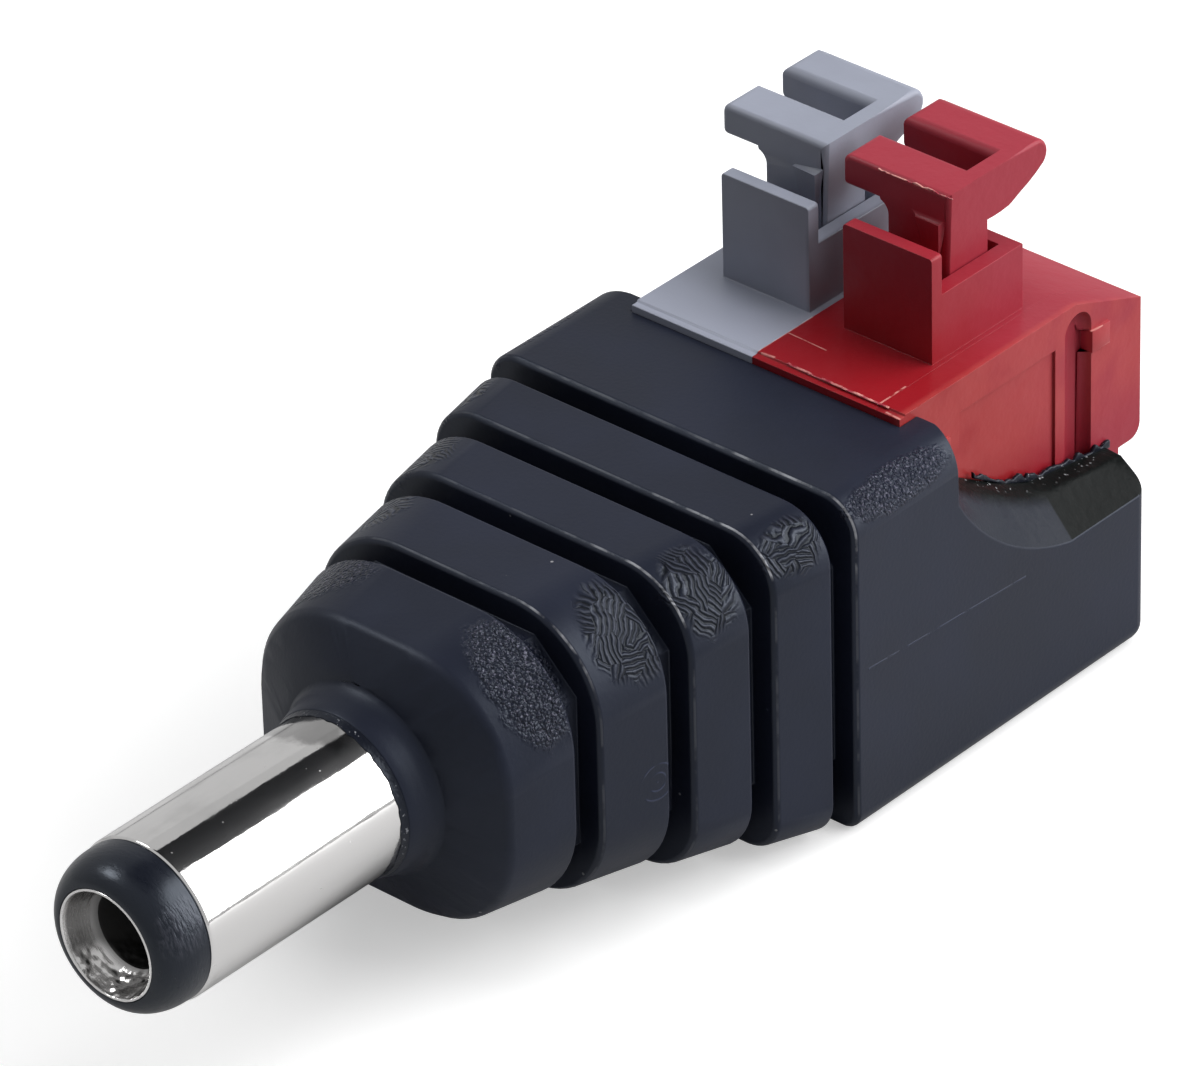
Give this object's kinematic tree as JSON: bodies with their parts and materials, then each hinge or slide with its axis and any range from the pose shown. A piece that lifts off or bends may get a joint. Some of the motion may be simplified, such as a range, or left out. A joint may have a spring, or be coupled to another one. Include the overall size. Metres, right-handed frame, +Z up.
{
  "type": "dc barrel plug",
  "caption": "DC barrel plug with a ribbed moulded body and screwless push-lever spring terminals, grey and red, that clamp bare wire ends to the sleeve and the centre contact.",
  "frame": {"origin": "on the barrel's axis, in the front plane of the moulded collar's ring, inside the centre contact's bore", "axes": "barrel points along -Y, the wire entries face +Y, the levers stand up along +Z, +X is the red side"},
  "size_m": [0.0152, 0.0422, 0.0176],
  "materials": {
    "black_moulding": "satin, leathery in patches",
    "nickel_sleeve": "bright nickel plate with fine scratches",
    "black_insulator": "smooth, slightly glossy",
    "plated_contact": "bright plated contact",
    "washer": "natural",
    "tinned_tag": "tinned",
    "tinned_copper": "tinned copper",
    "black_jacket": "matt",
    "red_jacket": "matt",
    "solder": "dull solder",
    "grey_plastic": "satin, cool grey",
    "red_plastic": "satin, muted red",
    "busbar_metal": "tinned",
    "spring_steel": "stamped spring steel"
  },
  "bodies": {
    "plug_body": {"moulded_body": "black_moulding", "barrel_sleeve": "nickel_sleeve", "tip_insulator": "black_insulator", "centre_contact": "plated_contact", "rear_insulator": "washer", "sleeve_tag": "tinned_tag", "centre_tag": "tinned_tag", "negative_lead": "tinned_copper", "positive_lead": "tinned_copper", "negative_lead_jacket": "black_jacket", "positive_lead_jacket": "red_jacket", "sleeve_tag_solder": "solder", "centre_tag_solder": "solder", "grey_pin_solder": "solder", "red_pin_solder": "solder", "grey_housing": "grey_plastic", "red_housing": "red_plastic", "end_cover": "red_plastic", "grey_busbar": "busbar_metal", "red_busbar": "busbar_metal", "grey_clamp_spring": "spring_steel", "red_clamp_spring": "spring_steel"},
    "grey_lever": {"grey_lever": "grey_plastic"},
    "red_lever": {"red_lever": "red_plastic"}
  },
  "joints": [
    {"name": "grey_lever_press", "type": "slide", "parent": "plug_body", "child": "grey_lever", "axis": [0, 0, -1], "range_m": [0, 0.001], "stiffness_N_per_m": 300, "springref_m": -0.001, "deforming": ["grey_clamp_spring"]},
    {"name": "red_lever_press", "type": "slide", "parent": "plug_body", "child": "red_lever", "axis": [0, 0, -1], "range_m": [0, 0.001], "stiffness_N_per_m": 300, "springref_m": -0.001, "deforming": ["red_clamp_spring"]}
  ]
}
